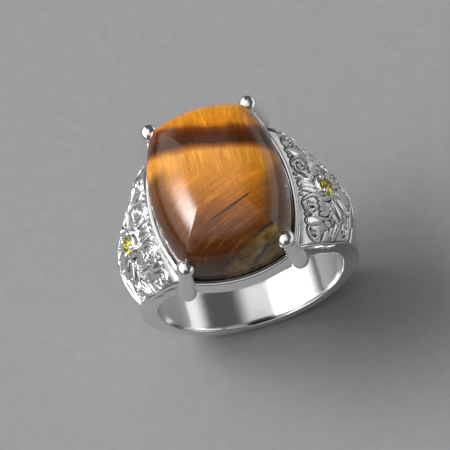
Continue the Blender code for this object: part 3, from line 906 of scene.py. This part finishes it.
# %% [markdown]
# ## The cabochon
#
# The stone is a dome on a cushion outline, flat on top only in the sense that a pillow is. Its rings
# shrink inwards while they rise, quickly at first, and turn from the cushion into an oval near the
# middle so that no corner is left on the top.

# %% Dome

STONE_INSET = 0.5
STONE_APEX = 18.98
STONE_GIRDLE = 12.53
STONE_BACK = 12.03
STONE_BACK_EDGE = 12.4
STONE_BACK_BEVEL = 0.45
DOME_FULLNESS = 2.5
DOME_SQUARENESS = 4.4
DOME_RINGS = 69


def dome_ring(reach, base):
    """The ring at a share of the way out, from 0 at the apex to 1 at the girdle."""
    z = STONE_GIRDLE + (STONE_APEX - STONE_GIRDLE) * (1 - reach ** DOME_FULLNESS) ** (1 / DOME_SQUARENESS)
    bearing = np.arctan2(base[:, 1], base[:, 0])
    oval_edge = np.stack([COLLAR_HALF_WIDTH * np.cos(bearing), COLLAR_HALF_LENGTH * np.sin(bearing)], -1)
    flat = (base + (oval_edge - base) * (1 - reach) ** 1.5) * reach
    return [(x, y, z) for x, y in flat]


base = np.array(cushion(STONE_INSET, 0))[:, :2]
# the power crowds the rings towards the steep edge
reaches = 1 - np.linspace(0, 1, DOME_RINGS + 1)[:-1] ** 1.8
rings = [cushion(STONE_INSET + STONE_BACK_BEVEL, STONE_BACK), cushion(STONE_INSET, STONE_BACK_EDGE)]
rings += [dome_ring(reach, base) for reach in reaches]
stone = skin("tigers_eye_cabochon", rings)
face_outwards(stone)
print("cabochon:", len(stone.data.polygons), "faces")

# %% [markdown]
# ## Tiger's eye
#
# Tiger's eye is quartz that grew round fine parallel fibres. Seen from the side the fibres shine like
# silk; seen end on they look dark, so a cut stone shows broad bands, gold against brown, each made of
# fine streaks. The bands are laid out on the stone's own axes. One number, v, says how far a point is
# from the middle of the dark band, and a ramp turns it into colour. Streaks then lighten and darken
# it: across the bands near the dark one, and slanting lower down.

# %% Tiger's eye: bands and fibres

class BandedStone(Recipe):
    """The finish of the main stone; places are millimetres on the stone's own axes."""

    def __init__(self, name):
        super().__init__(name)
        self.place = self.node("ShaderNodeTexCoord", output=3)
        split = self.node("ShaderNodeSeparateXYZ", {}, {0: self.place})
        parts = split.socket.node.outputs
        self.x, self.y, self.z = (Amount(self, parts[k]) * (1 / MM) for k in range(3))
        self.sway = self.noise(self.place, 260.0, 2.0) - 0.5
        self.ripple = self.noise(self.place, 1100.0, 3.0) - 0.5
        self.mottle = self.noise(self.place, 900.0, 4.0, 0.65)

    def at(self, a, b, c):
        return self.node("ShaderNodeCombineXYZ", {}, {0: a, 1: b, 2: c})

    def tint(self, share, colour, red, green, blue):
        """Cover a share of a colour with a plain one."""
        return self.mix(share, colour, (*rgb(red, green, blue), 1))

    def bands(self):
        """The colour of the bands, which follow v, the distance from the middle of the dark one."""
        x, y, z, sway = self.x, self.y, self.z, self.sway
        v = y - (3.563 - 0.298 * x + 0.0223 * x * x) + 1.1 * sway + 0.25 * self.ripple
        # the band's edges are fibrous, and its lower left reaches further down
        self.straight = self.noise(self.at(x * 3.4 + 0.8 * sway, y * 0.35, z * 0.35), 1.0, 4.0, 0.62)
        v = v + 0.5 * (self.straight - 0.5)
        self.v = v + (0.2 + 0.7 * (-x).rise(0.5, 4.5)) * (-v).rise(-0.5, 0.5)
        return self.ramp((self.v + 12) / 16, (
            (0.0, rgb(66, 34, 8)), (0.2, rgb(100, 54, 11)), (0.34, rgb(150, 86, 17)),
            (0.46, rgb(192, 120, 26)), (0.56, rgb(206, 134, 36)), (0.64, rgb(218, 146, 48)),
            (0.675, rgb(140, 80, 22)), (0.705, rgb(64, 32, 8)), (0.76, rgb(78, 36, 10)),
            (0.8, rgb(116, 56, 14)), (0.84, rgb(204, 128, 26)), (1.0, rgb(230, 152, 36))))

    def fibres(self, tone):
        """Streaks that run straight across the bands, and slanting ones below."""
        x, y, z = self.x, self.y, self.z
        fine = self.noise(self.at(x * 11.0, y * 0.8, z * 0.8), 1.0, 3.0, 0.6)
        down, cross = 0.37 * x - 0.93 * y, 0.93 * x + 0.37 * y
        slant = self.at(cross * 0.45, down * 3.2 + 0.8 * self.sway, z * 0.4)
        self.slanting = self.noise(slant, 1.0, 4.0, 0.62)
        lower = (-self.v).rise(2.6, 4.6)
        fibre = self.straight * (1 - lower) + self.slanting * lower
        light = 0.3 + 1.1 * fibre + 0.7 * (fine - 0.5)
        colour = self.mix(1.0, tone, self.at(light, light, light), "MULTIPLY")
        gold = (fibre - 0.52).rise(0.02, 0.22) * (0.32 - 0.2 * lower) * (-self.v).rise(0.9, 1.6)
        return self.tint(gold, colour, 244, 180, 80)


# %% [markdown]
# ## Painted shade and reflection, and what the rock left in the stone
#
# No cabochon is gold all over. The light follows the fibres, and the steep walls of this one face dim
# parts of the room: painted shade makes them dark at the left, and a painted reflection makes them plum
# brown at the right. Its lower corner holds grey-green rock, mottled and crossed by blue-grey streaks,
# and a thin crack runs towards it; painted shade darkens its lower front edge by the collar and the foot
# of the dome. Each is a mask that covers the bands with a plain colour, and the crack and the small pits
# are pressed into the surface as well.

# %% Tiger's eye: walls, corner and crack

class TigersEye(BandedStone):
    """The banded stone with painted shade and a painted reflection on its walls, its grey-green corner and
    its crack.
    """

    def walls(self, colour):
        """Painted shade on the left wall and a painted plum-brown reflection on the right one."""
        x, y = self.x, self.y
        # painted shade: the left wall is darkened to a deep brown
        left = (-x + 0.5 * (self.straight - 0.5)).rise(3.1, 5.0) * (2.2 - y).rise(0.0, 1.4)
        colour = self.tint(left * 0.85, colour, 64, 33, 12)
        # painted reflection: the right wall is tinted plum brown where it mirrors the grey room
        facet = x - 3.3 - 0.1 * (y + 4.8) ** 2 + 0.8 * (self.straight - 0.5)
        right = facet.rise(-0.6, 1.1) * (0.9 - y).rise(0.0, 2.0)
        return self.tint(right * 0.75, colour, 96, 66, 44)

    def corner(self, colour):
        """The grey-green corner with its blue-grey streaks; g grows away from it. The lower front edge by
        the collar gets painted shade.
        """
        g = self.y - 0.42 * self.x + 0.14 * (self.z - 18.7) + 0.8 * self.sway + 0.3 * self.ripple
        corner = (-g + 0.9 * (self.slanting - 0.5)).rise(7.4, 8.4)
        stops = (0.3, rgb(52, 42, 14)), (0.5, rgb(128, 102, 40)), (0.66, rgb(164, 142, 88))
        colour = self.mix(corner * 0.75, colour, self.ramp(self.mottle, stops))
        for middle, width in ((7.7, 0.22), (8.9, 0.16)):
            streak = (1 - (abs(g + middle) / width).rise(0.3, 1.0)) * self.mottle.rise(0.42, 0.55)
            colour = self.tint(streak * 0.85, colour, 36, 37, 40)
        # painted shade: the lower front edge next to the collar turns nearly black
        return self.tint((-g).rise(9.7, 10.4) * 0.8, colour, 22, 18, 12)

    def foot(self, colour):
        """Painted shade at the foot of the dome, where little light reaches; the back is made dark too."""
        # painted shade at the foot of the dome
        colour = self.tint((13.9 - self.z).rise(0.0, 1.3) * 0.8, colour, 26, 16, 8)
        return self.tint((12.35 - self.z).rise(0.0, 0.1), colour, 34, 22, 14)

    def crack(self):
        """1 in the crack, which is widest in the middle of its run."""
        across = 0.928 * self.y - 0.371 * self.x + 4.0 + 0.22 * self.sway + 0.1 * self.ripple
        run = 0.928 * self.x + 0.371 * self.y
        width = 0.085 * (run + 3.5).rise(0.0, 1.2) * (1.75 - run).rise(0.0, 1.0) + 0.001
        return 1 - (abs(across) / width).rise(0.6, 1.3)


def make_tigers_eye():
    r = TigersEye("tigers_eye")
    colour = r.foot(r.corner(r.walls(r.fibres(r.bands()))))
    crack = r.crack()
    colour = r.tint(crack * 0.97, colour, 16, 9, 4)
    pits = r.noise(r.place, 5200.0, 2.0, 0.5).rise(0.68, 0.78)
    colour = r.tint(pits * 0.5, colour, 60, 30, 12)
    height = 0.0 - pits - crack * 2.0
    bump = r.node("ShaderNodeBump", {}, {"Strength": 0.35, "Distance": 0.00002, "Height": height})
    rough = 0.1 + 0.06 * r.mottle + 0.2 * crack
    return r.finish(Base_Color=colour, Roughness=rough, IOR=1.55, Normal=bump)


tigers_eye = make_tigers_eye()
print("finish:", tigers_eye.name, len(tigers_eye.node_tree.nodes), "nodes")
smooth(stone, 40, tigers_eye)
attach(stone, "root")
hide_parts("tigers_eye")
for word in ("left", "right"):
    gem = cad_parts["accent_stone_" + word]
    gem.data.materials.clear()
    gem.data.materials.append(yellow)

# %% [markdown]
# ## The portrait
#
# The ring stands on a pale table, as it does when it is shown for sale. The table isn't part of it.
# Polished silver shows little but the room round it, so the room does the lighting: a window at the
# upper left with one sharp side gives the long highlight on the stone, a soft ceiling brightens what
# faces up, and a pale wall at the right keeps that shoulder legible. A lamp would leave a hard-edged
# square on the stone instead. The camera looks steeply down through a long lens.

# %% Table, room light and camera

FLOOR = -9.61
TABLE_HALF_WIDTH = 130
# how bright the room is: everywhere, and added at the window, the ceiling and the wall
ROOM, WINDOW, CEILING, WALL = 0.1, 23.0, 0.9, 1.0


def table_finish():
    r = Recipe("pale_table")
    place = r.node("ShaderNodeTexCoord", output=3)
    grain = r.noise(place, 1400.0, 3.0)
    tone = r.mix(grain, (*rgb(124, 124, 125), 1), (*rgb(134, 134, 135), 1))
    bump = r.node("ShaderNodeBump", {}, {"Strength": 0.2, "Distance": 0.0001, "Height": grain})
    return r.finish(Base_Color=tone, Roughness=0.8, Normal=bump)


corners = [(x * TABLE_HALF_WIDTH, y * TABLE_HALF_WIDTH, FLOOR)
           for x, y in ((-1, -1), (1, -1), (1, 1), (-1, 1))]
table = skin("table", [corners[:2], corners[:1:-1]], looped=False, caps=False)
table.data.materials.append(table_finish())
print("table:", 2 * TABLE_HALF_WIDTH, "mm wide")


class Sky(Recipe):
    """The light from all round, as a tree that reads the direction."""

    def __init__(self, world):
        world.use_nodes = True
        self.tree = world.node_tree
        self.tree.nodes.clear()

    def brightness(self):
        """Brightness of the room in each direction: window, ceiling and right-hand wall on dim grey."""
        split = self.node("ShaderNodeSeparateXYZ", {}, {0: self.node("ShaderNodeTexCoord", output=0)})
        dx, dy, dz = (Amount(self, split.socket.node.outputs[k]) for k in range(3))
        side = (0.2 * dy - 0.34 - dx).rise(0.0, 0.12)
        far = 1 - (-dx).rise(0.48, 0.8)
        low = 1 - abs(dy - 0.1).rise(0.02, 0.45)
        pane = side * (0.06 + 0.94 * far * low) * dz.rise(0.0, 0.3)
        ceiling = dz.rise(0.6, 0.95) * (1 - dx.rise(0.1, 0.45))
        wall = dx.rise(0.5, 0.85) * (1 - dz.rise(0.15, 0.45))
        return ROOM + WINDOW * pane + CEILING * ceiling + WALL * wall


world = bpy.data.worlds.new("room")
sky = Sky(world)
sockets = {"Color": (*rgb(242, 242, 243), 1), "Strength": sky.brightness()}
light = sky.node("ShaderNodeBackground", {}, sockets)
sky.node("ShaderNodeOutputWorld", {}, {"Surface": light})
bpy.context.scene.world = world
bpy.context.scene.view_settings.view_transform = "Standard"

# the camera's place in millimetres, the way it looks and what it has at its right
eye = Vector((13.065, -205.992, 401.607)) * MM
forward, right = Vector((-0.0305, 0.4634, -0.8856)), Vector((0.9586, -0.2374, -0.1572))
down = forward.cross(right)
camera = bpy.data.objects.new("camera", bpy.data.cameras.new("camera"))
camera.matrix_world = Matrix.Translation(eye) @ Matrix((right, -down, -forward)).transposed().to_4x4()
camera.data.lens, camera.data.sensor_width, camera.data.clip_start = 400, 36, 0.01
bpy.context.scene.collection.objects.link(camera)
bpy.context.scene.camera = camera
print("the camera stands", round(eye.length / MM), "mm away")
